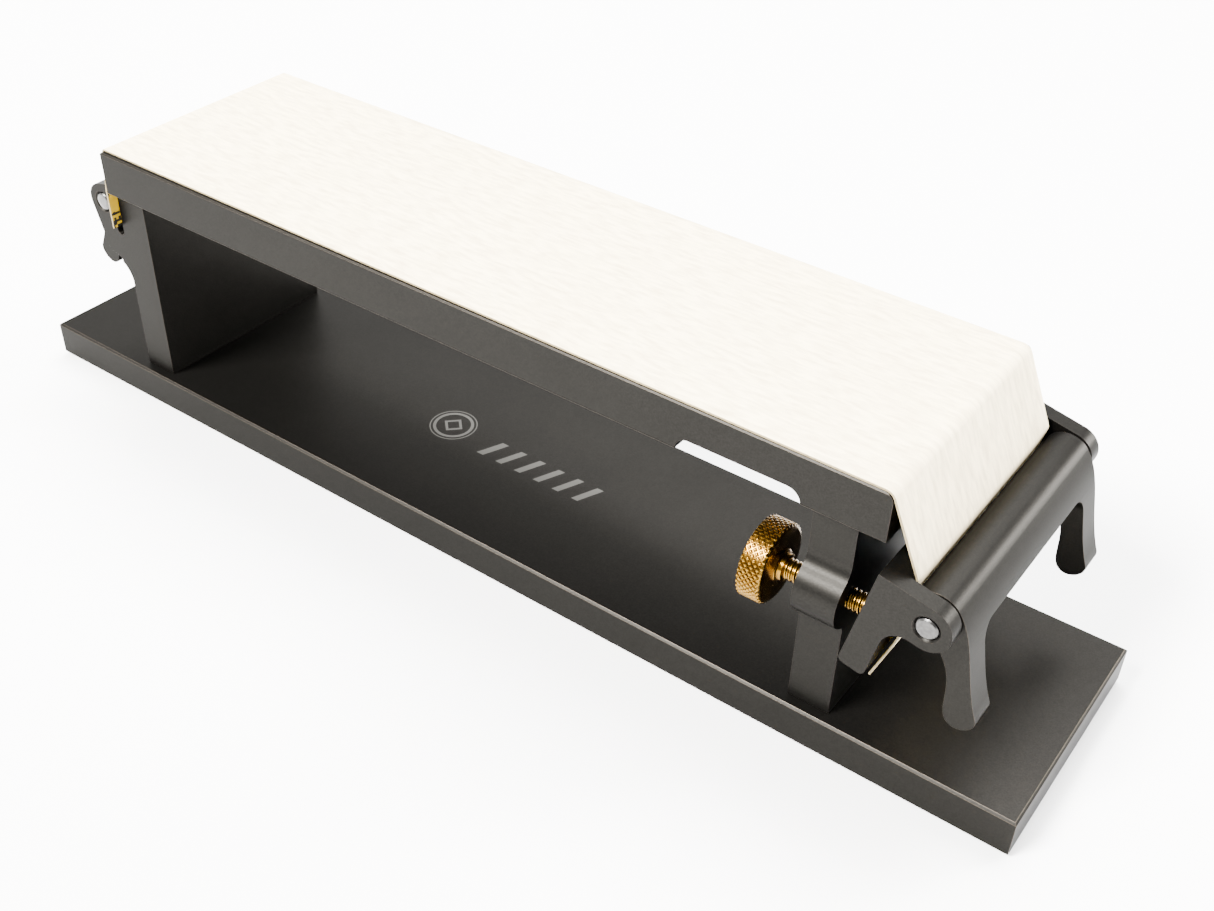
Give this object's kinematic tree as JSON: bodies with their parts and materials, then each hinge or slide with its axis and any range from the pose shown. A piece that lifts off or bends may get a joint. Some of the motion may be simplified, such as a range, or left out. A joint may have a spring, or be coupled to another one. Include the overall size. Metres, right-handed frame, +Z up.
{
  "type": "honing strip stand",
  "caption": "Bench stand that stretches a wide honing strip over a flat beam between two cam clamps, with brass thumb screws to tension it.",
  "frame": {"origin": "middle of the base plate, on the bench surface", "axes": "+X along the base to the tension end with the thumb screws, +Y to the back, +Z up"},
  "size_m": [0.3, 0.073, 0.0776],
  "materials": {
    "gunmetal": "dark anodised, satin",
    "brass": "turned and polished",
    "steel": "ground pins, plain screws",
    "rubber": "matt",
    "strip": "matt cream face, yellow back"
  },
  "bodies": {
    "frame": {"base_plate": "gunmetal", "rubber_feet": "rubber", "fixed_leg": "gunmetal", "tension_leg": "gunmetal", "beam": "gunmetal", "fixed_leg_screws": "steel", "tension_leg_screws": "steel", "fixed_beam_screws": "steel", "tension_beam_screws": "steel", "fixed_pin": "steel", "strip": "strip", "strip_span": "strip"},
    "fixed_cam": {"fixed_lever": "gunmetal"},
    "carriage": {"yoke": "gunmetal", "tension_pin": "steel", "strip_tail": "strip"},
    "tension_cam": {"tension_lever": "gunmetal"},
    "front_screw": {"front_thumb_screw": "brass", "front_retaining_ring": "steel"},
    "back_screw": {"back_thumb_screw": "brass", "back_retaining_ring": "steel"}
  },
  "joints": [
    {"name": "yoke_slide", "type": "slide", "parent": "frame", "child": "carriage", "axis": [1, 0, 0], "range_m": [-0.003, 0.0045], "deforming": ["strip_span"]},
    {"name": "tension_lever_turn", "type": "hinge", "parent": "carriage", "child": "tension_cam", "pos_m": [0.1252, 0, 0.0541], "axis": [0, -1, 0], "range_deg": [0, 110]},
    {"name": "fixed_lever_turn", "type": "hinge", "parent": "frame", "child": "fixed_cam", "pos_m": [-0.12, 0, 0.0588], "axis": [0, 1, 0], "range_deg": [0, 110]},
    {"name": "front_screw_turn", "type": "hinge", "parent": "carriage", "child": "front_screw", "pos_m": [0.086, -0.0262, 0.0432], "axis": [1, 0, 0], "range_deg": [-1021, 1531]},
    {"name": "back_screw_turn", "type": "hinge", "parent": "carriage", "child": "back_screw", "pos_m": [0.086, 0.0262, 0.0432], "axis": [1, 0, 0], "range_deg": [-1021, 1531]}
  ],
  "couplings": [
    {"joint": "front_screw_turn", "follows": "yoke_slide", "rad_per_m": 5936.9},
    {"joint": "back_screw_turn", "follows": "yoke_slide", "rad_per_m": 5936.9}
  ]
}
